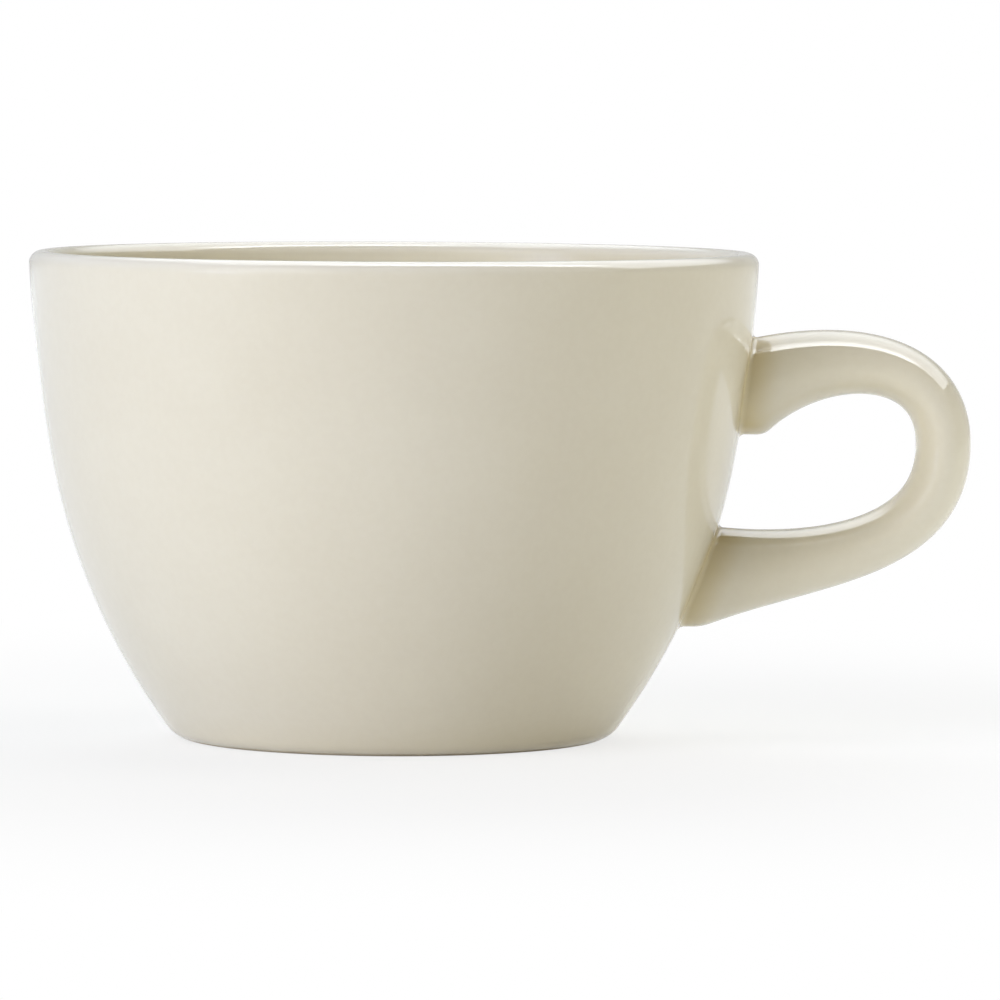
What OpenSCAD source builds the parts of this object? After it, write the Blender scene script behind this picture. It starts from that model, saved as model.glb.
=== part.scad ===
// Low porcelain cup with a cast loop handle.
// Millimetres, +Z up, origin on the cup's axis in the plane it stands on, handle towards +X.

/* [Bowl] */
// outside diameter at the rim
rim_d = 95; // [85:0.5:105]
// height of the lip above the table
cup_h = 63.5; // [58:0.5:72]
// thickness of the wall, and of the full-round lip
wall_t = 3.2; // [2.4:0.1:4.4]
// lean of the wall just below the lip, in degrees from upright
rim_lean = 3.3; // [1:0.1:6]
// radius of the long curve of the upper wall
wall_r = 213; // [170:1:280]
// height at which the upper wall turns into the belly
belly_h = 37.4; // [33:0.2:41]
// radius of the belly's curve
belly_r = 86; // [76:1:100]
// thickness of the floor
floor_t = 4; // [3:0.1:6]
// radius of the inside corner between belly and floor
floor_corner_r = 14; // [8:0.5:18]

/* [Foot] */
// radius of the rounded outer edge of the foot
foot_edge_r = 4; // [3:0.1:5.5]
// height of the standing ring, so the depth of the hollow under the floor
foot_h = 2.6; // [1.8:0.1:4]
// width of the flat face that the ring stands on
foot_face_w = 3.4; // [2:0.1:6]
// radius of the ring's inner edge
foot_inner_r = 1.2; // [0.4:0.1:1.6]

/* [Handle] */
// how far the handle stands out past the rim
handle_reach = 27.8; // [24:0.1:34]
// thickness of the loop at its outermost point
grip_t = 7.2; // [6:0.1:9]
// width of the loop at its outermost point
grip_w = 11.4; // [8:0.1:13]
// depth of the loop's outermost point below the lip
bend_drop = 24.9; // [22:0.1:28]
// fullness of the loop above its outermost point
upper_bend_pull = 12.2; // [9:0.1:15]
// fullness of the loop below its outermost point
lower_bend_pull = 13.8; // [11:0.1:17]
// how far the middle of each root lies inside the wall's face
root_sink = 0.65; // [0:0.05:1.5]

/* [Upper root] */
// depth of the upper root's middle below the lip
upper_root_drop = 18; // [15:0.1:20]
// thickness of the loop at its upper root
upper_root_t = 13; // [10:0.1:14]
// width of the loop at its upper root
upper_root_w = 13.4; // [10:0.1:16]
// rise of the loop as it leaves the upper root, in degrees
upper_rise = 28.5; // [20:0.5:34]
// fullness of the loop where it leaves the upper root
upper_root_pull = 12.9; // [9:0.1:15]
// how late the loop starts to flare towards its upper root
upper_flare = 3.3; // [2:0.1:6]

/* [Lower root] */
// depth of the lower root's middle below the lip
lower_root_drop = 42.1; // [39:0.1:45]
// thickness of the loop at its lower root
lower_root_t = 13.6; // [11:0.1:15]
// width of the loop at its lower root
lower_root_w = 13.4; // [10:0.1:16]
// rise of the loop as it leaves the lower root, in degrees
lower_rise = 6.5; // [0:0.5:12]
// fullness of the loop where it leaves the lower root
lower_root_pull = 16.2; // [12:0.1:19]
// how late the loop starts to flare towards its lower root
lower_flare = 4.1; // [2:0.1:6]

/* [Slip joints] */
// thickness of the slip between handle and wall
slip_t = 0.5; // [0.3:0.05:0.8]
// how far the slip shows around each root
slip_bead = 0.4; // [0.2:0.05:0.8]

/* [Hidden] */
$fn = 180;
// steps along each half of the loop, and how many of them at a root the slip follows
loop_steps = 20;
slip_steps = 6;
// points around the loop's section
section_points = 32;
// length of loop carried on inside the wall before it is cut to the wall
root_embed = wall_t + slip_t + 4;

glaze_colour = [0.87, 0.85, 0.78];
slip_colour = [0.80, 0.77, 0.67];
biscuit_colour = [0.84, 0.80, 0.72];

// outward direction of the wall, in a plane through the axis, where it leans in by a degrees
function outward(a) = [cos(a), -sin(a)];

// the wall's section is two arcs that run into each other, under a half-round lip
lip_r = wall_t / 2;
lip_c = [rim_d / 2 - lip_r, cup_h - lip_r];
wall_c = lip_c + (lip_r - wall_r) * outward(rim_lean);
belly_lean = asin((wall_c[1] - belly_h) / wall_r);
belly_c = wall_c + (wall_r - belly_r) * outward(belly_lean);

// middle of a corner of radius r between the belly, moved inwards by inset, and a floor at height z
function corner_c(inset, z, r) =
    [belly_c[0] + sqrt(pow(belly_r - inset - r, 2) - pow(belly_c[1] - z - r, 2)), z + r];

// outer radius of the bowl at height z
function bowl_r(z) = z > belly_h
    ? wall_c[0] + sqrt(pow(wall_r, 2) - pow(z - wall_c[1], 2))
    : belly_c[0] + sqrt(pow(belly_r, 2) - pow(z - belly_c[1], 2));

foot_hollow_r = corner_c(0, 0, foot_edge_r)[0] - foot_face_w - foot_inner_r;

// the loop's two halves, each a curve from the outermost point to a root on the wall
bend = [rim_d / 2 + handle_reach - grip_t / 2, cup_h - bend_drop];
function root_at(z) = [bowl_r(z) - root_sink, z];
upper_root = root_at(cup_h - upper_root_drop);
lower_root = root_at(cup_h - lower_root_drop);
upper_half = [
    bend,
    bend + [0, upper_bend_pull],
    upper_root + upper_root_pull * [cos(upper_rise), sin(upper_rise)],
    upper_root,
];
lower_half = [
    bend,
    bend - [0, lower_bend_pull],
    lower_root + lower_root_pull * [cos(lower_rise), sin(lower_rise)],
    lower_root,
];

// point and direction on a curve with four control points
function curve(p, t) =
    pow(1 - t, 3) * p[0] + 3 * pow(1 - t, 2) * t * p[1] + 3 * (1 - t) * t * t * p[2] + pow(t, 3) * p[3];
function heading(p, t) =
    pow(1 - t, 2) * (p[1] - p[0]) + 2 * (1 - t) * t * (p[2] - p[1]) + t * t * (p[3] - p[2]);

// the loop runs from the lower root at -1 through the outermost point at 0 to the upper root at 1
function loop_at(s) = s > 0 ? curve(upper_half, s) : curve(lower_half, -s);
function loop_heading(s) = s > 0 ? heading(upper_half, s) : -heading(lower_half, -s);
function flare(s) = s > 0 ? pow(s, upper_flare) : pow(-s, lower_flare);
function loop_t(s) = grip_t + flare(s) * ((s > 0 ? upper_root_t : lower_root_t) - grip_t);
function loop_w(s) = grip_w + flare(s) * ((s > 0 ? upper_root_w : lower_root_w) - grip_w);

// oval section of the loop at s, grown by grow and moved towards the axis by inward
function loop_ring(s, grow, inward) =
    let (h = loop_heading(s) / norm(loop_heading(s)))
    let (c = loop_at(s) - [inward, 0])
    let (t = loop_t(s) / 2 + grow)
    let (w = loop_w(s) / 2 + grow)
    [for (i = [0 : section_points - 1])
        let (a = 360 * i / section_points)
        [c[0] + t * cos(a) * h[1], w * sin(a), c[1] - t * cos(a) * h[0]]];

// sections of the loop from one step to another, carried on inside the wall at an end that is a root
function loop_rings(first, last, grow) = concat(
    first == -loop_steps ? [loop_ring(-1, grow, root_embed)] : [],
    [for (k = [first : last]) loop_ring(k / loop_steps, grow, 0)],
    last == loop_steps ? [loop_ring(1, grow, root_embed)] : []
);

// closed solid through sections of the loop
module ring_solid(rings) {
    n = section_points;
    last = (len(rings) - 1) * n;
    sides = [for (k = [0 : len(rings) - 2]) for (i = [0 : n - 1])
        let (a = k * n + i)
        let (b = k * n + (i + 1) % n)
        each [[a, a + n, b], [b, a + n, b + n]]];
    start = [[for (i = [0 : n - 1]) i]];
    end = [[for (i = [n - 1 : -1 : 0]) last + i]];
    polyhedron([for (r = rings) each r], concat(start, sides, end));
}

// half section of the bowl's outside moved inwards by inset, open at the top, on a floor at height z
module bowl_section(inset, z, r) {
    upper_r = wall_r - inset;
    lower_r = belly_r - inset;
    turn_z = wall_c[1] - upper_r * sin(belly_lean);
    corner = corner_c(inset, z, r);
    corner_lean = asin((belly_c[1] - corner[1]) / (lower_r - r));
    corner_top = belly_c + lower_r * outward(corner_lean);
    intersection() {
        translate(wall_c) circle(upper_r, $fn = 720);
        translate([0, turn_z]) square([rim_d, cup_h]);
    }
    intersection() {
        translate(belly_c) circle(lower_r, $fn = 720);
        translate([0, corner_top[1]]) square([rim_d, turn_z - corner_top[1]]);
    }
    intersection() {
        translate(corner) circle(r);
        polygon([corner, corner - [0, 2 * r], corner + [2 * r, -2 * r], corner + 2 * r * outward(corner_lean)]);
    }
    polygon([[0, z], [corner[0], z], corner, corner_top, [0, corner_top[1]]]);
}

// everything above the line across the wall where the lip's curve starts
module above_lip_line() {
    translate(lip_c) rotate(-rim_lean) translate([-rim_d, 0]) square([2 * rim_d, cup_h]);
}

module cup_body() {
    color(glaze_colour) rotate_extrude() {
        difference() {
            bowl_section(0, 0, foot_edge_r);
            bowl_section(wall_t, foot_h + floor_t, floor_corner_r);
            above_lip_line();
            square([rim_d, foot_h]);
        }
        intersection() {
            translate(lip_c) circle(lip_r);
            above_lip_line();
        }
    }
}

module foot_ring() {
    color(biscuit_colour) rotate_extrude() difference() {
        intersection() {
            bowl_section(0, 0, foot_edge_r);
            translate([foot_hollow_r, 0]) square([rim_d, foot_h]);
        }
        difference() {
            translate([foot_hollow_r, 0]) square(foot_inner_r);
            translate([foot_hollow_r + foot_inner_r, foot_inner_r]) circle(foot_inner_r);
        }
    }
}

module handle() {
    color(glaze_colour) difference() {
        ring_solid(loop_rings(-loop_steps, loop_steps, 0));
        rotate_extrude() bowl_section(-slip_t, 0, foot_edge_r);
    }
}

// skin of slip on the bowl's outside, clear of foot and lip
module slip_skin() {
    rotate_extrude() difference() {
        bowl_section(-slip_t, 0, foot_edge_r);
        bowl_section(0, 0, foot_edge_r);
        square([rim_d, foot_edge_r]);
        above_lip_line();
    }
}

module upper_slip_joint() {
    color(slip_colour) intersection() {
        ring_solid(loop_rings(loop_steps - slip_steps, loop_steps, slip_bead));
        slip_skin();
    }
}

module lower_slip_joint() {
    color(slip_colour) intersection() {
        ring_solid(loop_rings(-loop_steps, slip_steps - loop_steps, slip_bead));
        slip_skin();
    }
}

cup_body();
foot_ring();
handle();
upper_slip_joint();
lower_slip_joint();
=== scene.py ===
"""Low porcelain cup: a glazed bowl on a bare standing ring, with a loop handle set on by two slip joints."""

import logging
import math
from dataclasses import dataclass
from enum import Enum
from functools import cached_property
from typing import Any, Optional, Union

import bmesh
import bpy
from mathutils import Matrix, Vector


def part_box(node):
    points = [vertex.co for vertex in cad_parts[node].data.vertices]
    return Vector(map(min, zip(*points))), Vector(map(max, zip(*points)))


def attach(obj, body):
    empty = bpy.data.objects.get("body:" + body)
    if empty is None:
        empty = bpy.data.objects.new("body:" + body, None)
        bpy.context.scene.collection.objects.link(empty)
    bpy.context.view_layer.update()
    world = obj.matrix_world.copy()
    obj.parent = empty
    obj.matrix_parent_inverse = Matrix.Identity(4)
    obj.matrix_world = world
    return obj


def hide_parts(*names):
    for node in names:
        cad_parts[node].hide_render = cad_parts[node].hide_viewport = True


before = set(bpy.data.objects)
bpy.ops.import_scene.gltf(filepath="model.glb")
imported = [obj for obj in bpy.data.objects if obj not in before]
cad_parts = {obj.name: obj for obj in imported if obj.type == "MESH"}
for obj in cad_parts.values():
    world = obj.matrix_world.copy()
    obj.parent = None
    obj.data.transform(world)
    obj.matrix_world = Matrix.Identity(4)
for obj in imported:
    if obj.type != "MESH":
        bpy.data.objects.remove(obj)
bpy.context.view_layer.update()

LOG = logging.getLogger("cup")
MM = 0.001
QUARTER = math.radians(90)
CREASE = math.radians(40)
GLAZE_IOR = 1.5
AIM_HEIGHT = 35 * MM

Colour = tuple[float, float, float]
Span = tuple[float, float]
Number = Union["Value", float]
DARK: Colour = (0.0, 0.0, 0.0)


def scaled(shares: Span, size: float) -> Span:
    """Turns two shares of a size into lengths."""
    return shares[0] * size, shares[1] * size


class Slot(Enum):
    """The record's material slots."""

    GLAZE = "glaze"
    HANDLE_GLAZE = "handle_glaze"
    SLIP = "slip"
    BISCUIT = "biscuit"


class Root(Enum):
    """The two ends of the loop, each with its side of the outermost point."""

    UPPER = 1
    LOWER = -1


class Value:
    """A number in a shader: Python arithmetic on it adds Math nodes."""

    def __init__(self, nodes: "Nodes", socket: bpy.types.NodeSocket) -> None:
        """Keeps the node tree and the socket that carries the number."""
        self.nodes = nodes
        self.socket = socket

    def math(self, operation: str, *terms: Number) -> "Value":
        """Adds a Math node.

        Args:
            operation: Blender's name for the operation.
            terms: The operands, in order.

        Returns:
            The node's result.
        """
        return self.nodes.value("ShaderNodeMath", {"operation": operation}, dict(enumerate(terms)))

    def __add__(self, other: Number) -> "Value":
        """Sum."""
        return self.math("ADD", self, other)

    def __radd__(self, other: Number) -> "Value":
        """Sum, from the right."""
        return self.math("ADD", other, self)

    def __sub__(self, other: Number) -> "Value":
        """Difference."""
        return self.math("SUBTRACT", self, other)

    def __rsub__(self, other: Number) -> "Value":
        """Difference, from the right."""
        return self.math("SUBTRACT", other, self)

    def __mul__(self, other: Number) -> "Value":
        """Product."""
        return self.math("MULTIPLY", self, other)

    def __rmul__(self, other: Number) -> "Value":
        """Product, from the right."""
        return self.math("MULTIPLY", other, self)

    def __truediv__(self, other: Number) -> "Value":
        """Quotient."""
        return self.math("DIVIDE", self, other)

    def __rtruediv__(self, other: Number) -> "Value":
        """Quotient, from the right."""
        return self.math("DIVIDE", other, self)

    def root(self) -> "Value":
        """Square root, of nothing below nought."""
        return self.math("SQRT", self.most(0.0))

    def most(self, other: Number) -> "Value":
        """The larger of two numbers."""
        return self.math("MAXIMUM", self, other)

    def between(self, low: Number, high: Number) -> "Value":
        """Rises smoothly from 0 at low to 1 at high.

        Args:
            low: Where the rise starts.
            high: Where the rise ends.

        Returns:
            The eased mask.
        """
        settings = {"interpolation_type": "SMOOTHSTEP"}
        sockets = {"Value": self, "From Min": low, "From Max": high}
        return self.nodes.value("ShaderNodeMapRange", settings, sockets)


class Nodes:
    """A node tree, and the one way in which nodes are added to it."""

    # numbers of the Mix node's sockets when it blends colours
    mix_share, mix_first, mix_second, mix_result = 0, 6, 7, 2

    def __init__(self, tree: bpy.types.NodeTree) -> None:
        """Takes a tree and empties it."""
        self.tree = tree
        self.tree.nodes.clear()

    def add(
        self,
        kind: str,
        settings: Optional[dict[str, Any]] = None,
        sockets: Optional[dict[Any, Any]] = None,
    ) -> bpy.types.Node:
        """Adds a node of any type.

        Args:
            kind: The node's type.
            settings: Its properties, set before its sockets.
            sockets: A value or a link for each named or numbered input.

        Returns:
            The node.
        """
        node = self.tree.nodes.new(kind)
        for name, setting in (settings or {}).items():
            setattr(node, name, setting)
        for key, term in (sockets or {}).items():
            if isinstance(term, Value):
                term = term.socket
            if isinstance(term, bpy.types.NodeSocket):
                self.tree.links.new(term, node.inputs[key])
            else:
                node.inputs[key].default_value = term
        return node

    def value(self, kind: str, settings: dict[str, Any], sockets: dict[Any, Any], output: Any = 0) -> Value:
        """Adds a node and gives one of its outputs as a number.

        Args:
            kind: The node's type.
            settings: Its properties.
            sockets: Its inputs.
            output: Name or number of the output.

        Returns:
            The output, ready for arithmetic.
        """
        return Value(self, self.add(kind, settings, sockets).outputs[output])

    def mix(self, share: Number, first: Any, second: Any) -> bpy.types.NodeSocket:
        """Blends two colours.

        Args:
            share: How much of the second colour shows.
            first: Colour or socket.
            second: Colour or socket.

        Returns:
            The blended colour.
        """
        inks = [(*ink, 1.0) if isinstance(ink, tuple) else ink for ink in (first, second)]
        sockets = {self.mix_share: share, self.mix_first: inks[0], self.mix_second: inks[1]}
        return self.add("ShaderNodeMix", {"data_type": "RGBA"}, sockets).outputs[self.mix_result]

    def place(self) -> tuple[bpy.types.NodeSocket, Value, Value, Value]:
        """Object coordinates of the shaded point.

        Returns:
            The coordinates as one vector and as three numbers.
        """
        vector = self.add("ShaderNodeTexCoord").outputs["Object"]
        parts = self.add("ShaderNodeSeparateXYZ", {}, {0: vector}).outputs
        return vector, Value(self, parts[0]), Value(self, parts[1]), Value(self, parts[2])

    def noise(self, place: bpy.types.NodeSocket, grain: float, detail: float = 2.0) -> Value:
        """Soft noise around one half.

        Args:
            place: The coordinates.
            grain: Size of its patches in metres.
            detail: How many finer layers are added.

        Returns:
            The noise.
        """
        sockets = {"Vector": place, "Scale": 1.0 / grain, "Detail": detail}
        return self.value("ShaderNodeTexNoise", {}, sockets, "Fac")


@dataclass(frozen=True)
class BowlForm:
    """Half section of the bowl: a long upper curve that runs into the belly, under a half-round lip."""

    rim: float
    height: float
    foot: float
    wall: float = 3.2 * MM
    rim_lean: float = math.radians(3.3)
    upper_curve: float = 213.0 * MM
    turn_height: float = 37.4 * MM
    belly_curve: float = 86.0 * MM
    floor: float = 4.0 * MM
    floor_corner: float = 14.0 * MM
    foot_corner: float = 4.0 * MM
    turn_blend: float = 0.1 * MM

    @staticmethod
    def outward(lean: float) -> Vector:
        """Direction out of a wall that leans in by an angle, in the plane through the axis."""
        return Vector((math.cos(lean), 0.0, -math.sin(lean)))

    @property
    def lip(self) -> float:
        """Radius of the lip's round."""
        return self.wall / 2

    @cached_property
    def lip_centre(self) -> Vector:
        """Middle of the lip's round."""
        return Vector((self.rim - self.lip, 0.0, self.height - self.lip))

    @cached_property
    def upper_centre(self) -> Vector:
        """Middle of the upper wall's long curve."""
        return self.lip_centre + (self.lip - self.upper_curve) * self.outward(self.rim_lean)

    @cached_property
    def turn_lean(self) -> float:
        """Lean of the wall where the upper curve turns into the belly."""
        return math.asin((self.upper_centre.z - self.turn_height) / self.upper_curve)

    @cached_property
    def belly_centre(self) -> Vector:
        """Middle of the belly's curve."""
        return self.upper_centre + (self.upper_curve - self.belly_curve) * self.outward(self.turn_lean)

    def belly_lean(self, height: float) -> float:
        """Lean of the belly's outside at a height."""
        return math.asin((self.belly_centre.z - height) / self.belly_curve)

    def corner(self, inset: float, base: float, radius: float) -> tuple[Vector, float]:
        """Round corner between the belly and a level base.

        Args:
            inset: How far the belly is moved inwards.
            base: Height of the base.
            radius: Radius of the corner.

        Returns:
            The corner's middle, and the lean at which it meets the belly.
        """
        drop = self.belly_centre.z - base - radius
        span = self.belly_curve - inset - radius
        middle = Vector((self.belly_centre.x + math.sqrt(span**2 - drop**2), 0.0, base + radius))
        return middle, math.asin(drop / span)

    def radius_at(self, height: float) -> float:
        """Outer radius of the bowl.

        Args:
            height: Where it is taken.

        Returns:
            The radius.
        """
        centre, curve = self.belly_centre, self.belly_curve
        if height > self.turn_height:
            centre, curve = self.upper_centre, self.upper_curve
        return centre.x + math.sqrt(curve**2 - (height - centre.z) ** 2)

    def gap(self, x: Value, y: Value, z: Value) -> Value:
        """Distance of a shaded point out from the bowl's wall, measured level.

        Args:
            x: The point's place towards the handle.
            y: The point's place across.
            z: The point's height.

        Returns:
            The distance in metres.
        """
        rise, drop = z - self.upper_centre.z, z - self.belly_centre.z
        upper = self.upper_centre.x + (self.upper_curve**2 - rise * rise).root()
        belly = self.belly_centre.x + (self.belly_curve**2 - drop * drop).root()
        low = 1.0 - z.between(self.turn_height - self.turn_blend, self.turn_height + self.turn_blend)
        return (x * x + y * y).root() - (upper + low * (belly - upper))


@dataclass(frozen=True)
class LoopHalf:
    """One half of the loop: how it leaves its root, and how it swells towards it."""

    height: float
    thick: float
    wide: float
    rise: float
    pull: float
    bend_pull: float
    flare: float


@dataclass(frozen=True)
class LoopForm:
    """The loop's course, from the lower root at -1 through the bend at 0 to the upper root at 1."""

    bowl: BowlForm
    tip: float
    bend_height: float = 38.6 * MM
    grip_thick: float = 7.2 * MM
    grip_wide: float = 11.4 * MM
    upper: LoopHalf = LoopHalf(
        height=45.5 * MM,
        thick=13.0 * MM,
        wide=13.4 * MM,
        rise=math.radians(28.5),
        pull=12.9 * MM,
        bend_pull=12.2 * MM,
        flare=3.3,
    )
    lower: LoopHalf = LoopHalf(
        height=21.4 * MM,
        thick=13.6 * MM,
        wide=13.4 * MM,
        rise=math.radians(6.5),
        pull=16.2 * MM,
        bend_pull=-13.8 * MM,
        flare=4.1,
    )
    sink: float = 0.65 * MM
    carry: float = 36.0 * MM
    ease: float = 0.012
    ease_steps: tuple[int, ...] = (-2, -1, 0, 1, 2)
    search: Span = (0.5, 1.4)
    halvings: int = 26

    def half(self, root: Root) -> LoopHalf:
        """The half that runs to a root."""
        return self.upper if root is Root.UPPER else self.lower

    def foothold(self, root: Root) -> Vector:
        """Middle of a root, a little inside the wall's face."""
        height = self.half(root).height
        return Vector((self.bowl.radius_at(height) - self.sink, 0.0, height))

    @cached_property
    def hulls(self) -> dict[Root, tuple[Vector, ...]]:
        """Control points of each half of the loop.

        Returns:
            Four points for each root, from the bend to that root.
        """
        bend = Vector((self.tip - self.grip_thick / 2, 0.0, self.bend_height))
        hulls = {}
        for root in Root:
            half, foothold = self.half(root), self.foothold(root)
            leave = half.pull * Vector((math.cos(half.rise), 0.0, math.sin(half.rise)))
            hulls[root] = (bend, bend + Vector((0.0, 0.0, half.bend_pull)), foothold + leave, foothold)
        return hulls

    def bare_section(self, along: float, turn: float, grow: float) -> Vector:
        """Point on the loop's oval section.

        Args:
            along: Place on the loop; past a root the section is carried on level into the wall.
            turn: Angle around the section.
            grow: How much the section is enlarged.

        Returns:
            The point.
        """
        root = Root.UPPER if along > 0 else Root.LOWER
        half, (a, b, c, d) = self.half(root), self.hulls[root]
        t = min(abs(along), 1.0)
        middle = (1 - t) ** 3 * a + 3 * (1 - t) ** 2 * t * b + 3 * (1 - t) * t**2 * c + t**3 * d
        heading = (1 - t) ** 2 * (b - a) + 2 * (1 - t) * t * (c - b) + t**2 * (d - c)
        heading = heading.normalized() * root.value
        flare = t**half.flare
        thick = (self.grip_thick + flare * (half.thick - self.grip_thick)) / 2 + grow
        wide = (self.grip_wide + flare * (half.wide - self.grip_wide)) / 2 + grow
        inward = max(abs(along) - 1.0, 0.0) * self.carry
        side = Vector((heading.z, 0.0, -heading.x)) * thick * math.cos(turn)
        return middle + side + Vector((-inward, wide * math.sin(turn), 0.0))

    def section(self, along: float, turn: float, grow: float = 0.0) -> Vector:
        """Point on the loop, eased along it so that the edge of a root is round.

        Args:
            along: Place on the loop.
            turn: Angle around the section.
            grow: How much the section is enlarged.

        Returns:
            The point.
        """
        points = [self.bare_section(along + step * self.ease, turn, grow) for step in self.ease_steps]
        return sum(points, Vector()) / len(points)

    def meeting(self, root: Root, turn: float, gap: float, grow: float = 0.0) -> float:
        """Where a line along the loop comes within a distance of the wall.

        Args:
            root: The root that the line runs to.
            turn: The line's angle around the section.
            gap: The distance from the wall, measured level.
            grow: How much the section is enlarged.

        Returns:
            The place on the loop, past a root where it is larger than one.
        """
        far, near = self.search
        for _ in range(self.halvings):
            middle = (far + near) / 2
            point = self.section(root.value * middle, turn, grow)
            if math.hypot(point.x, point.y) > self.bowl.radius_at(point.z) + gap:
                far = middle
            else:
                near = middle
        return root.value * (far + near) / 2

    def landing(self, root: Root, turn: float, gap: float, grow: float = 0.0) -> Vector:
        """Point where a line along the loop comes within a distance of the wall.

        Args:
            root: The root that the line runs to.
            turn: The line's angle around the section.
            gap: The distance from the wall.
            grow: How much the section is enlarged.

        Returns:
            The point.
        """
        return self.section(self.meeting(root, turn, gap, grow), turn, grow)


class OutlinePen:
    """A wire drawn in the plane through the axis, which is then turned into a closed skin."""

    weld = 0.002 * MM

    def __init__(self, x: float, z: float) -> None:
        """Sets the first point."""
        self.mesh = bmesh.new()
        self.tip = self.mesh.verts.new((x, 0.0, z))

    def line(self, x: float, z: float, steps: int = 1) -> None:
        """Draws a straight stretch.

        Args:
            x: Its end's distance from the axis.
            z: Its end's height.
            steps: How many edges it gets.
        """
        step = (Vector((x, 0.0, z)) - self.tip.co) / steps
        for _ in range(steps):
            self.tip = bmesh.ops.extrude_vert_indiv(self.mesh, verts=[self.tip])["verts"][0]
            bmesh.ops.translate(self.mesh, verts=[self.tip], vec=step)

    def arc(self, centre: Vector, turn: float, steps: int) -> None:
        """Draws an arc.

        Args:
            centre: Its middle.
            turn: Its angle, clockwise as seen with the axis on the left.
            steps: How many edges it gets.
        """
        made = bmesh.ops.spin(
            self.mesh, geom=[self.tip], cent=centre, axis=(0.0, 1.0, 0.0), angle=turn, steps=steps
        )
        self.tip = next(item for item in made["geom_last"] if isinstance(item, bmesh.types.BMVert))

    def revolve(self, steps: int) -> bmesh.types.BMesh:
        """Turns the wire about the axis.

        Args:
            steps: How many sectors the skin gets.

        Returns:
            The closed skin.
        """
        wire = self.mesh.verts[:] + self.mesh.edges[:]
        bmesh.ops.spin(
            self.mesh, geom=wire, cent=(0, 0, 0), axis=(0, 0, 1), angle=math.tau, steps=steps, use_merge=True
        )
        bmesh.ops.remove_doubles(self.mesh, verts=self.mesh.verts[:], dist=self.weld)
        return self.mesh


class RingStack:
    """A skin drawn out ring by ring from a circle of edges."""

    def __init__(self, points: list[Vector]) -> None:
        """Sets the first ring.

        Args:
            points: The ring's points, in order.
        """
        self.mesh = bmesh.new()
        self.order = self.mesh.verts.layers.int.new("order")
        bmesh.ops.create_circle(self.mesh, cap_ends=False, segments=len(points), radius=1.0)
        for place, vert in enumerate(self.mesh.verts):
            vert[self.order] = place
        self.edges = self.mesh.edges[:]
        self.place(self.mesh.verts[:], points)

    def place(self, verts: list[bmesh.types.BMVert], points: list[Vector]) -> None:
        """Puts each vertex of a ring on its point."""
        for vert in verts:
            vert.co = points[vert[self.order]]

    def draw(self, points: list[Vector]) -> None:
        """Draws the last ring out.

        Args:
            points: The new ring's points, in order.
        """
        made = bmesh.ops.extrude_edge_only(self.mesh, edges=self.edges)["geom"]
        self.edges = [item for item in made if isinstance(item, bmesh.types.BMEdge)]
        self.place([item for item in made if isinstance(item, bmesh.types.BMVert)], points)

    def close(self) -> bmesh.types.BMesh:
        """Closes both ends with fans.

        Returns:
            The closed skin.
        """
        rims = [edge for edge in self.mesh.edges if edge.is_boundary]
        lids = bmesh.ops.holes_fill(self.mesh, edges=rims, sides=0)["faces"]
        bmesh.ops.poke(self.mesh, faces=lids)
        return self.mesh


@dataclass(frozen=True)
class Foothold:
    """Oval outline of a root on the wall."""

    height: float
    half_wide: float
    half_high: float

    def spread(self, y: Value, z: Value) -> Value:
        """How far a shaded point lies from the outline: 1 on it, less inside.

        Args:
            y: The point's place across.
            z: The point's height.

        Returns:
            The share of the outline's size.
        """
        across, up = y / self.half_wide, (z - self.height) / self.half_high
        return (across * across + up * up).root()


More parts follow.
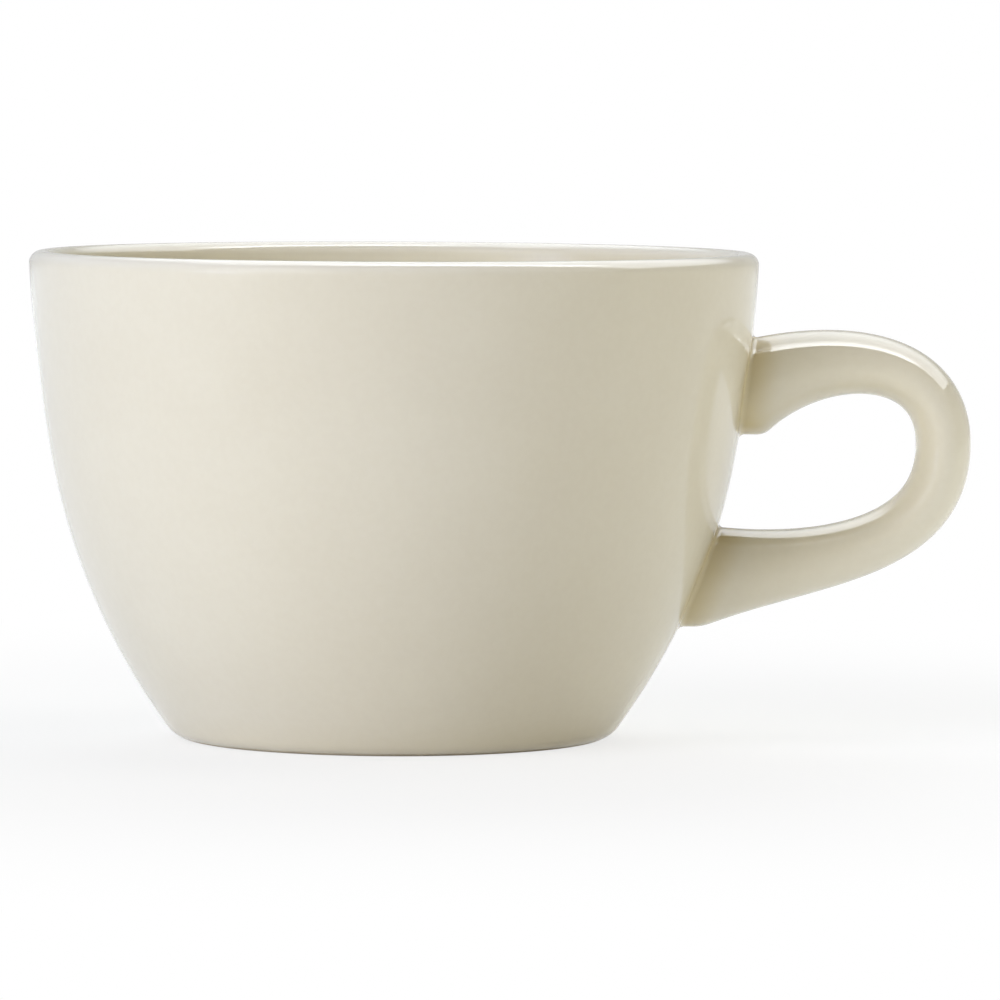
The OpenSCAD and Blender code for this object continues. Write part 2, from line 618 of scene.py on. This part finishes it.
@dataclass(frozen=True)
class Glaze:
    """Clear glossy glaze over ivory clay, with a paler lip that is partly thin glaze and partly painted
    highlight, and with pooled glaze and painted shade in the crook of each root.
    """

    name: str
    form: BowlForm
    roots: tuple[Foothold, ...]
    clay: Colour = (0.708, 0.660, 0.536)
    pale: Colour = (0.732, 0.688, 0.566)
    # darker, yellower colour of glaze pooled in the crooks, also used as painted shade there
    pooled_and_shaded: Colour = (0.625, 0.530, 0.305)
    # paler lip colour: thin glaze on the edge, and a painted highlight along the lip
    thin_lip_and_highlight: Colour = (0.800, 0.775, 0.700)
    # how strongly the pooled glaze and painted crease shade show
    pool_shade_share: float = 0.85
    crook_near: float = 0.4 * MM
    crook_far: float = 4.4 * MM
    crook_uneven: float = 1.0 * MM
    crook_side: Span = (20 * MM, 30 * MM)
    crook_skin: Span = (-0.7, -0.4)
    wobble_grain: float = 5 * MM
    halo: float = 1.6
    halo_uneven: float = 0.3
    foot_rise: Span = (0.1, 2.0)
    foot_share: float = 0.15
    lip_drop: Span = (1.9 * MM, 0.5 * MM)
    # how strongly the paler lip, partly painted highlight, shows
    lip_highlight_share: float = 0.5
    cloud_grain: float = 24 * MM
    cloud_range: Span = (0.3, 0.7)
    cloud_share: float = 0.7
    mottle_grain: float = 1.1 * MM
    mottle_range: Span = (0.35, 0.65)
    gloss: float = 0.03
    gloss_uneven: float = 0.03
    gloss_grain: float = 9 * MM
    stirred: float = 0.19
    stir_skin: Span = (-0.95, -0.5)
    stir_start: Span = (1.4, 2.2)
    stir_end: Span = (0.35, 0.75)
    peel_grain: float = 3.2 * MM
    fine_grain: float = 0.6 * MM
    fine_share: float = 0.2
    peel_depth: float = 0.02 * MM
    peel_strength: float = 0.12

    def depth(self, x: Value, y: Value, z: Value, wobble: Value) -> Value:
        """Mask of pooled glaze and painted shade: in the angle between loop and wall it is pooled glaze with
        painted crease shade, spread onto the wall beside each root as painted shade; a little above the foot
        it is pooled glaze alone.

        Args:
            x: The point's place towards the handle.
            y: The point's place across.
            z: The point's height.
            wobble: Noise that makes the edges uneven.

        Returns:
            A mask from 0 to 1.
        """
        away = self.form.gap(x, y, z)
        near = 1.0 - away.between(self.crook_near, self.crook_far + self.crook_uneven * wobble)
        outside = away.between(*scaled(self.crook_skin, self.form.wall))
        # in the crook: pooled glaze and painted crease shade
        crook = near * x.between(*self.crook_side) * outside
        mask = (1.0 - z.between(*scaled(self.foot_rise, self.form.foot))) * self.foot_share
        for root in self.roots:
            # painted shade: the mask spreads past each root's outline onto the wall, standing in for the
            # handle's shade and reflection there
            beside = root.spread(y, z).between(1.0, self.halo + self.halo_uneven * wobble)
            mask = mask.most(crook * (1.0 - beside))
        return mask

    def colour(
        self, nodes: Nodes, vector: bpy.types.NodeSocket, z: Value, depth: Value
    ) -> bpy.types.NodeSocket:
        """Colour of the clay as it shows through the glaze, with painted shade in the crooks of the roots
        and a painted highlight on the lip.

        Args:
            nodes: The finish's tree.
            vector: The coordinates.
            z: The point's height.
            depth: Mask of the pooled glaze and the painted shade in the crooks.

        Returns:
            The colour.
        """
        cloud = nodes.noise(vector, self.cloud_grain, 3.0).between(*self.cloud_range)
        mottle = nodes.noise(vector, self.mottle_grain).between(*self.mottle_range)
        cast = cloud * self.cloud_share + mottle * (1.0 - self.cloud_share)
        tone = nodes.mix(cast, self.clay, self.pale)
        # pooled glaze and painted shade in the crooks of the roots
        tone = nodes.mix(depth * self.pool_shade_share, tone, self.pooled_and_shaded)
        # paler band at the top of the lip: thin glaze and painted highlight
        lip = z.between(*(self.form.height - drop for drop in self.lip_drop))
        return nodes.mix(lip * self.lip_highlight_share, tone, self.thin_lip_and_highlight)

    def dullness(self, x: Value, y: Value, z: Value) -> Value:
        """How far spoons have dulled the glaze: on the floor of the bowl and the wall just above it.

        Args:
            x: The point's place towards the handle.
            y: The point's place across.
            z: The point's height.

        Returns:
            A mask from 0 to 1.
        """
        form = self.form
        inside = 1.0 - form.gap(x, y, z).between(*scaled(self.stir_skin, form.wall))
        above = z.between(*scaled(self.stir_start, form.foot))
        below = 1.0 - z.between(*scaled(self.stir_end, form.height))
        return inside * above * below

    def material(self) -> bpy.types.Material:
        """Builds the finish.

        Returns:
            The material.
        """
        material = bpy.data.materials.new(self.name)
        material.use_nodes = True
        nodes = Nodes(material.node_tree)
        vector, x, y, z = nodes.place()
        depth = self.depth(x, y, z, nodes.noise(vector, self.wobble_grain))
        peel, fine = (nodes.noise(vector, grain, 1.0) for grain in (self.peel_grain, self.fine_grain))
        peel = peel * (1.0 - self.fine_share) + fine * self.fine_share
        sockets = {"Strength": self.peel_strength, "Distance": self.peel_depth, "Height": peel}
        bump = nodes.add("ShaderNodeBump", {}, sockets)
        gloss = self.gloss + self.gloss_uneven * nodes.noise(vector, self.gloss_grain)
        shader = nodes.add(
            "ShaderNodeBsdfPrincipled",
            {},
            {
                "Base Color": self.colour(nodes, vector, z, depth),
                "Roughness": gloss + self.stirred * self.dullness(x, y, z),
                "IOR": GLAZE_IOR,
                "Normal": bump.outputs[0],
            },
        )
        nodes.add("ShaderNodeOutputMaterial", {}, {"Surface": shader.outputs[0]})
        return material


@dataclass(frozen=True)
class Biscuit:
    """Bare ground clay under the foot, with the edge of the glaze just above it."""

    glaze: Glaze
    clay: Colour = (0.640, 0.575, 0.450)
    soiled: Colour = (0.480, 0.410, 0.310)
    edge: Colour = (0.560, 0.475, 0.325)
    edge_height: float = 0.40 * MM
    edge_uneven: float = 0.25 * MM
    edge_grain: float = 4 * MM
    edge_blur: Span = (0.9, 1.1)
    edge_band: Span = (0.45, 1.0)
    edge_share: float = 0.8
    grit_grain: float = 0.22 * MM
    grit_range: Span = (0.3, 0.7)
    grit_share: float = 0.35
    grit_level: float = 0.8
    grit_depth: float = 0.06 * MM
    grit_strength: float = 0.6
    scuff_grain: float = 1.6 * MM
    scuff_range: Span = (0.52, 0.68)
    scuff_share: float = 0.4
    gloss: float = 0.08
    dull: float = 0.60
    dull_uneven: float = 0.20

    def material(self) -> bpy.types.Material:
        """Builds the finish.

        Returns:
            The material.
        """
        material = bpy.data.materials.new("bare foot")
        material.use_nodes = True
        nodes = Nodes(material.node_tree)
        vector, x, y, z = nodes.place()
        line = z + (nodes.noise(vector, self.edge_grain) - 0.5) * self.edge_uneven
        bare = 1.0 - line.between(*scaled(self.edge_blur, self.edge_height))
        rim = bare * line.between(*scaled(self.edge_band, self.edge_height))
        # pooled glaze and painted crease shade of the glaze, as on the bowl
        depth = self.glaze.depth(x, y, z, nodes.noise(vector, self.glaze.wobble_grain))
        grit = nodes.noise(vector, self.grit_grain, 3.0)
        scuff = nodes.noise(vector, self.scuff_grain, 4.0).between(*self.scuff_range)
        soil = grit.between(*self.grit_range) * self.grit_share + scuff * self.scuff_share
        earth = nodes.mix(soil, self.clay, self.soiled)
        earth = nodes.mix(rim * self.edge_share, earth, self.edge)
        tone = nodes.mix(bare, self.glaze.colour(nodes, vector, z, depth), earth)
        height = bare * (grit - self.grit_level)
        sockets = {"Strength": self.grit_strength, "Distance": self.grit_depth, "Height": height}
        bump = nodes.add("ShaderNodeBump", {}, sockets)
        shader = nodes.add(
            "ShaderNodeBsdfPrincipled",
            {},
            {
                "Base Color": tone,
                "Roughness": self.gloss + bare * (self.dull + self.dull_uneven * grit),
                "IOR": GLAZE_IOR,
                "Normal": bump.outputs[0],
            },
        )
        nodes.add("ShaderNodeOutputMaterial", {}, {"Surface": shader.outputs[0]})
        return material


class Piece:
    """What the cup's pieces share: a closed skin that takes the place of one node of the frame."""

    node = ""
    slot = Slot.GLAZE

    def settle(self, mesh: bmesh.types.BMesh, finish: Union[Glaze, Biscuit]) -> bpy.types.Object:
        """Makes the skin an object of the scene and puts it on its body.

        Args:
            mesh: The closed skin, which is used up.
            finish: What it is dressed in.

        Returns:
            The object.
        """
        bmesh.ops.recalc_face_normals(mesh, faces=mesh.faces[:])
        for face in mesh.faces:
            face.smooth = True
        for edge in mesh.edges:
            edge.smooth = edge.calc_face_angle(0.0) < CREASE
        data = bpy.data.meshes.new(f"{self.node}.skin")
        mesh.to_mesh(data)
        mesh.free()
        data.materials.append(finish.material())
        piece = bpy.data.objects.new(f"{self.node}.skin", data)
        bpy.context.scene.collection.objects.link(piece)
        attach(piece, "root")
        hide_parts(self.node)
        LOG.info("%s: %d faces, in %s", piece.name, len(data.polygons), self.slot.value)
        return piece


@dataclass
class Bowl(Piece):
    """The bowl: floor, curved wall and full-round lip."""

    form: BowlForm
    finish: Glaze
    sectors: int = 192
    floor_steps: int = 12
    corner_steps: int = 14
    inner_steps: tuple[int, int] = (20, 16)
    lip_steps: int = 24
    outer_steps: tuple[int, int] = (24, 36)
    hollow_steps: int = 10
    node = "cup_body"
    slot = Slot.GLAZE

    def build(self) -> bpy.types.Object:
        """Draws the half section from the inside of the floor over the lip to the hollow of the foot.

        Returns:
            The bowl.
        """
        form = self.form
        base = form.foot + form.floor
        corner, corner_lean = form.corner(form.wall, base, form.floor_corner)
        pen = OutlinePen(0.0, base)
        pen.line(corner.x, base, self.floor_steps)
        pen.arc(corner, corner_lean - QUARTER, self.corner_steps)
        pen.arc(form.belly_centre, form.turn_lean - corner_lean, self.inner_steps[0])
        pen.arc(form.upper_centre, form.rim_lean - form.turn_lean, self.inner_steps[1])
        pen.arc(form.lip_centre, math.pi, self.lip_steps)
        pen.arc(form.upper_centre, form.turn_lean - form.rim_lean, self.outer_steps[0])
        pen.arc(form.belly_centre, form.belly_lean(form.foot) - form.turn_lean, self.outer_steps[1])
        pen.line(0.0, form.foot, self.hollow_steps)
        return self.settle(pen.revolve(self.sectors), self.finish)


@dataclass
class FootRing(Piece):
    """The standing ring, round on both edges and ground flat between them."""

    form: BowlForm
    finish: Biscuit
    face: float = 3.4 * MM
    inner_edge: float = 1.2 * MM
    sectors: int = 192
    side_steps: int = 3
    inner_steps: int = 8
    flat_steps: int = 4
    corner_steps: int = 12
    node = "foot_ring"
    slot = Slot.BISCUIT

    def build(self) -> bpy.types.Object:
        """Draws the ring's section from its inner wall under the standing face to the bowl.

        Returns:
            The ring.
        """
        form = self.form
        corner, corner_lean = form.corner(0.0, 0.0, form.foot_corner)
        hollow = corner.x - self.face - self.inner_edge
        pen = OutlinePen(hollow, form.foot)
        pen.line(hollow, self.inner_edge, self.side_steps)
        pen.arc(Vector((hollow + self.inner_edge, 0.0, self.inner_edge)), -QUARTER, self.inner_steps)
        pen.line(corner.x, 0.0, self.flat_steps)
        pen.arc(corner, corner_lean - QUARTER, self.corner_steps)
        pen.arc(form.belly_centre, form.belly_lean(form.foot) - corner_lean, self.side_steps)
        pen.line(hollow, form.foot, self.flat_steps)
        return self.settle(pen.revolve(self.sectors), self.finish)


@dataclass
class LoopHandle(Piece):
    """The cast loop, an oval bar that thickens into its roots."""

    loop: LoopForm
    finish: Glaze
    slip: float = 0.5 * MM
    steps: int = 64
    points: int = 72
    node = "handle"
    slot = Slot.HANDLE_GLAZE

    def build(self) -> bpy.types.Object:
        """Draws the bar from the lower root over the bend to the upper root, each line ending on the slip.

        Returns:
            The handle.
        """
        turns = [math.tau * i / self.points for i in range(self.points)]
        ends = {root: [abs(self.loop.meeting(root, turn, self.slip)) for turn in turns] for root in Root}
        stack: Optional[RingStack] = None
        for step in range(-self.steps, self.steps + 1):
            share = step / self.steps
            reach = ends[Root.UPPER if step > 0 else Root.LOWER]
            ring = [self.loop.section(share * end, turn) for end, turn in zip(reach, turns)]
            if stack is None:
                stack = RingStack(ring)
            else:
                stack.draw(ring)
        return self.settle(stack.close(), self.finish)


@dataclass
class SlipJoint(Piece):
    """A seam of slip: a thin pad between root and wall, with a hollow-faced bead all round it."""

    loop: LoopForm
    finish: Glaze
    root: Root
    slip: float = 0.5 * MM
    bead: float = 0.8 * MM
    sunk: float = 0.02 * MM
    skirt_sunk: float = 0.08 * MM
    skirt_inset: float = 0.04 * MM
    points: int = 96
    arc_steps: int = 8
    slot = Slot.SLIP

    @property
    def node(self) -> str:
        """The node that the seam stands for."""
        return f"{self.root.name.lower()}_slip_joint"

    def ring(self, gap: float, grow: float) -> list[Vector]:
        """Landing points around the root at a distance from the wall.

        Args:
            gap: The distance.
            grow: How much the loop's section is enlarged.

        Returns:
            The points in order.
        """
        turns = [math.tau * i / self.points for i in range(self.points)]
        return [self.loop.landing(self.root, turn, gap, grow) for turn in turns]

    def build(self) -> bpy.types.Object:
        """Draws the bead from the wall up to the loop, then the pad under the loop's end.

        Returns:
            The seam.
        """
        rims = self.ring(0.0, self.bead), self.ring(0.0, 0.0), self.ring(self.bead, -self.sunk)
        stack = RingStack(self.ring(-self.skirt_sunk, self.bead - self.skirt_inset))
        for step in range(self.arc_steps + 1):
            t = step / self.arc_steps
            stack.draw([(1 - t) ** 2 * w + 2 * (1 - t) * t * c + t**2 * b for w, c, b in zip(*rims)])
        stack.draw(self.ring(self.slip, -self.bead))
        return self.settle(stack.close(), self.finish)


@dataclass(frozen=True)
class Panel:
    """A soft light panel that fades from its middle to its edge and lets the light of others through."""

    name: str
    azimuth: float
    elevation: float
    radiance: float
    tint: Colour
    mirrored: float = 0.0
    half: float = 0.75
    distance: float = 1.3
    laid: bool = False
    laid_height: float = 0.05 * MM

    def matrix(self) -> Matrix:
        """Place of the panel, facing the cup or laid on the floor.

        Returns:
            The matrix, with angles taken from the camera's side.
        """
        turn, lift = math.radians(self.azimuth), math.radians(self.elevation)
        ray = Vector((math.sin(turn) * math.cos(lift), -math.cos(turn) * math.cos(lift), math.sin(lift)))
        if self.laid:
            return Matrix.Translation(self.distance * ray + Vector((0.0, 0.0, self.laid_height)))
        spot = Matrix.Translation(self.distance * ray + Vector((0.0, 0.0, AIM_HEIGHT)))
        return spot @ ray.to_track_quat("Z", "Y").to_matrix().to_4x4()

    def material(self) -> bpy.types.Material:
        """Builds the panel's glow.

        Returns:
            The material.
        """
        material = bpy.data.materials.new(self.name)
        material.use_nodes = True
        nodes = Nodes(material.node_tree)
        vector, *_ = nodes.place()
        away = nodes.value("ShaderNodeVectorMath", {"operation": "LENGTH"}, {0: vector}, "Value")
        glow = nodes.mix(away.between(0.0, self.half), self.tint, DARK)
        gloss = nodes.value("ShaderNodeLightPath", {}, {}, "Is Glossy Ray")
        glow = nodes.mix(gloss * (1.0 - self.mirrored), glow, DARK)
        light = nodes.add("ShaderNodeEmission", {}, {"Color": glow, "Strength": self.radiance})
        clear = nodes.add("ShaderNodeBsdfTransparent")
        both = nodes.add("ShaderNodeAddShader", {}, {0: light.outputs[0], 1: clear.outputs[0]})
        nodes.add("ShaderNodeOutputMaterial", {}, {"Surface": both.outputs[0]})
        return material


@dataclass
class Studio:
    """Plain pale floor, white surroundings, soft panels around the cup, a softbox and a card overhead."""

    mirrored: float = 0.65
    floor_half: float = 4.0
    floor_tone: float = 0.85
    floor_drop: float = 0.02 * MM
    shadow_share: float = 0.24
    shadow_reach: Span = (0.03, 0.2)
    panels: tuple[Panel, ...] = (
        Panel("front left panel", -42.0, 25.0, 6.6, (0.93, 0.94, 1.0), mirrored=0.25),
        Panel("left panel", -55.0, 0.0, 13.4, (0.58, 0.67, 1.0), mirrored=0.25, half=0.45),
        Panel("front panel", -15.0, 10.0, 1.8, (1.0, 0.88, 0.52), mirrored=0.25),
        Panel("right panel", 100.0, 20.0, 4.0, (1.0, 0.94, 0.75)),
        Panel("rear panel", 180.0, 30.0, 6.1, (0.89, 0.965, 1.0)),
        Panel("rear left panel", -150.0, 25.0, 2.1, (0.77, 0.86, 1.0)),
        Panel("floor glow", 70.0, 0.0, 0.8, (0.92, 0.95, 1.0), half=0.16, distance=0.2, laid=True),
    )
    lamp_power: float = 1.0
    lamp_size: Span = (0.52, 0.34)
    lamp_place: tuple[float, float, float] = (0.18, 0.0, 0.72)
    card_low: Span = (-1.2, -0.07)
    card_high: Span = (1.2, 1.60)
    card_height: float = 0.74
    card_radiance: tuple[float, float, float] = (13.0, 6.0, 0.9)
    card_tint: Colour = (0.92, 0.95, 1.0)
    card_fade: Span = (-0.55, -0.2)
    strip_middle: float = 0.22
    strip_half: float = 0.42
    strip_depth: Span = (0.05, 0.18)
    strip_edge: Span = (0.2, 1.0)
    camera_place: tuple[float, float, float] = (13.91 * MM, -974.23 * MM, 91.31 * MM)
    camera_dip: float = math.radians(3.537)
    camera_roll: float = math.radians(0.25)
    camera_lens: float = 269.26
    camera_sensor: float = 36.0
    camera_near: float = 0.01

    def seen(self, nodes: Nodes) -> Value:
        """Mask of the rays that show the surroundings: white to the camera, a little darker in the gloss.

        Args:
            nodes: The tree of the floor or the world.

        Returns:
            One where the surroundings are seen, nought where they only light.
        """
        rays = nodes.add("ShaderNodeLightPath").outputs
        shown = Value(nodes, rays["Is Camera Ray"]).most(Value(nodes, rays["Is Transmission Ray"]))
        return shown.most(Value(nodes, rays["Is Glossy Ray"]) * self.mirrored)

    @staticmethod
    def sheet(name: str, size: Span, place: Matrix, material: bpy.types.Material) -> bpy.types.Object:
        """A flat sheet of the set.

        Args:
            name: Its name.
            size: Its width and depth.
            place: Where it is.
            material: Its finish.

        Returns:
            The sheet, marked as no part of the object.
        """
        mesh = bmesh.new()
        bmesh.ops.create_grid(mesh, x_segments=1, y_segments=1, size=0.5)
        bmesh.ops.scale(mesh, verts=mesh.verts[:], vec=(*size, 1.0))
        data = bpy.data.meshes.new(name)
        mesh.to_mesh(data)
        mesh.free()
        data.materials.append(material)
        sheet = bpy.data.objects.new(name, data)
        sheet.matrix_world = place
        bpy.context.scene.collection.objects.link(sheet)
        return sheet

    def lay_floor(self) -> None:
        """Lays the floor: white to the eye, with the cup's soft shadow close around it."""
        material = bpy.data.materials.new("floor")
        material.use_nodes = True
        nodes = Nodes(material.node_tree)
        vector, *_ = nodes.place()
        away = nodes.value("ShaderNodeVectorMath", {"operation": "LENGTH"}, {0: vector}, "Value")
        fade = away.between(*self.shadow_reach)
        plain = self.seen(nodes) * (1.0 - self.shadow_share + self.shadow_share * fade)
        paper = nodes.add("ShaderNodeBsdfDiffuse", {}, {"Color": (*[self.floor_tone] * 3, 1.0)})
        white = nodes.add("ShaderNodeEmission", {}, {"Strength": 1.0})
        both = nodes.add("ShaderNodeMixShader", {}, {0: plain, 1: paper.outputs[0], 2: white.outputs[0]})
        nodes.add("ShaderNodeOutputMaterial", {}, {"Surface": both.outputs[0]})
        place = Matrix.Translation((0.0, 0.0, -self.floor_drop))
        self.sheet("floor", (2 * self.floor_half, 2 * self.floor_half), place, material)

    def surround(self) -> None:
        """Sets surroundings that show white and give no light of their own."""
        world = bpy.data.worlds.new("studio")
        bpy.context.scene.world = world
        world.use_nodes = True
        nodes = Nodes(world.node_tree)
        dark = nodes.add("ShaderNodeBackground", {}, {"Color": (0, 0, 0, 1)})
        white = nodes.add("ShaderNodeBackground", {}, {"Color": (1, 1, 1, 1)})
        sockets = {0: self.seen(nodes), 1: dark.outputs[0], 2: white.outputs[0]}
        nodes.add("ShaderNodeOutputWorld", {}, {0: nodes.add("ShaderNodeMixShader", {}, sockets).outputs[0]})

    def hang_lamps(self) -> None:
        """Hangs the panels and the softbox."""
        for panel in self.panels:
            size = (2 * panel.half, 2 * panel.half)
            sheet = self.sheet(panel.name, size, panel.matrix(), panel.material())
            sheet.visible_camera = False
        lamp = bpy.data.lights.new("softbox", "AREA")
        lamp.shape = "RECTANGLE"
        lamp.size, lamp.size_y = self.lamp_size
        lamp.energy = self.lamp_power
        box = bpy.data.objects.new("softbox", lamp)
        box.matrix_world = Matrix.Translation(self.lamp_place)
        box.visible_glossy = False
        bpy.context.scene.collection.objects.link(box)

    def hang_card(self) -> None:
        """Hangs a card overhead, seen only in the gloss: bright along its front edge, faint at the left."""
        low, high = Vector(self.card_low), Vector(self.card_high)
        size, middle = high - low, (low + high) / 2
        material = bpy.data.materials.new("card")
        material.use_nodes = True
        nodes = Nodes(material.node_tree)
        _, x, y, _ = nodes.place()
        strip, front, back = (
            tuple(part * radiance for part in self.card_tint) for radiance in self.card_radiance
        )
        share = y / size.y + 0.5
        aside = (x - self.strip_middle) / self.strip_half
        bright = (1.0 - share.between(*self.strip_depth)) * (1.0 - (aside * aside).between(*self.strip_edge))
        glow = nodes.mix(bright, nodes.mix(share, front, back), strip)
        glow = nodes.mix(x.between(*self.card_fade), back, glow)
        light = nodes.add("ShaderNodeEmission", {}, {"Color": glow, "Strength": 1.0})
        nodes.add("ShaderNodeOutputMaterial", {}, {"Surface": light.outputs[0]})
        place = Matrix.Translation((*middle, self.card_height))
        card = self.sheet("card", tuple(size), place, material)
        card.visible_camera = card.visible_diffuse = card.visible_shadow = False

    def set_camera(self) -> None:
        """Sets the camera at the photograph's viewing angle."""
        data = bpy.data.cameras.new("camera")
        data.sensor_fit = "HORIZONTAL"
        data.sensor_width = self.camera_sensor
        data.lens = self.camera_lens
        data.clip_start = self.camera_near
        camera = bpy.data.objects.new("camera", data)
        dip = Matrix.Rotation(QUARTER - self.camera_dip, 4, "X")
        roll = Matrix.Rotation(self.camera_roll, 4, "Z")
        camera.matrix_world = Matrix.Translation(self.camera_place) @ dip @ roll
        bpy.context.scene.collection.objects.link(camera)
        bpy.context.scene.camera = camera

    def build(self) -> None:
        """Sets up the whole studio."""
        self.lay_floor()
        self.surround()
        self.hang_lamps()
        self.hang_card()
        self.set_camera()
        bpy.context.scene.view_settings.view_transform = "Standard"


def main() -> None:
    """Builds the cup piece by piece and the studio around it."""
    logging.basicConfig(level=logging.INFO, format="%(name)s: %(message)s")
    body, ring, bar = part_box("cup_body"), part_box("foot_ring"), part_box("handle")
    form = BowlForm(rim=body[1][0], height=body[1][2], foot=ring[1][2])
    loop = LoopForm(bowl=form, tip=bar[1][0])
    roots = tuple(
        Foothold(half.height, half.wide / 2, half.thick / 2 * math.cos(half.rise))
        for half in (loop.upper, loop.lower)
    )
    Bowl(form, Glaze("bowl glaze", form, roots)).build()
    FootRing(form, Biscuit(Glaze("foot glaze", form, roots))).build()
    LoopHandle(loop, Glaze("handle glaze", form, roots)).build()
    for root in Root:
        SlipJoint(loop, Glaze("slip glaze", form, roots), root).build()
    Studio().build()


if __name__ == "__main__":
    main()
